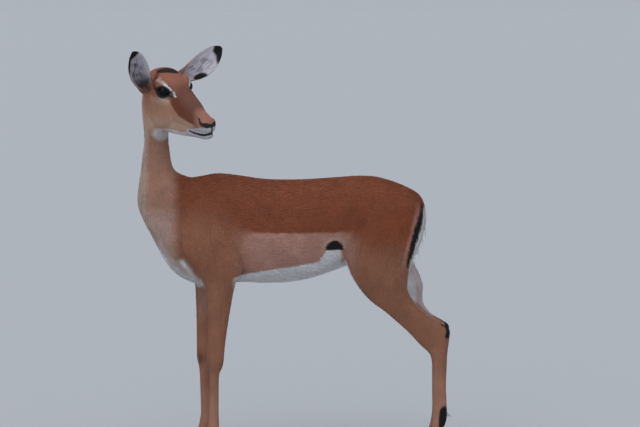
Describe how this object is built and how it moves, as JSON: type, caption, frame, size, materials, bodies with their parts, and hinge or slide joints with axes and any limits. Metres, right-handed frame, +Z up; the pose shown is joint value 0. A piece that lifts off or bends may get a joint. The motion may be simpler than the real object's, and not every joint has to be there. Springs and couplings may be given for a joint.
{
  "type": "impala antelope model",
  "caption": "Life-size impala ewe standing still, head turned back over her left shoulder, tan above and white below, with black rump stripes and black-tipped ears.",
  "frame": {"origin": "on the floor, under the middle of the animal's box", "axes": "+Z up; the animal faces -X, and its left side, over which the head is turned, faces -Y"},
  "size_m": [0.8916, 0.315, 1.1341],
  "materials": {
    "coat": "short flat rufous fur, darker over the back and white below, with black rump stripes and black tufts above the hind feet",
    "eye": "wet, almost black dark-brown eye",
    "hoof": "smooth black horn, dull, with fine growth lines"
  },
  "bodies": {
    "root": {"trunk": "coat", "neck": "coat", "head": "coat", "tail": "coat", "ear_left": "coat", "ear_right": "coat", "eye_left": "eye", "eye_right": "eye", "foreleg_upper_left": "coat", "foreleg_upper_right": "coat", "foreleg_lower_left": "coat", "foreleg_lower_right": "coat", "hindleg_upper_left": "coat", "hindleg_upper_right": "coat", "hindleg_lower_left": "coat", "hindleg_lower_right": "coat", "hoof_fore_outer_left": "hoof", "hoof_fore_outer_right": "hoof", "hoof_fore_inner_left": "hoof", "hoof_fore_inner_right": "hoof", "hoof_hind_outer_left": "hoof", "hoof_hind_outer_right": "hoof", "hoof_hind_inner_left": "hoof", "hoof_hind_inner_right": "hoof"}
  },
  "joints": []
}
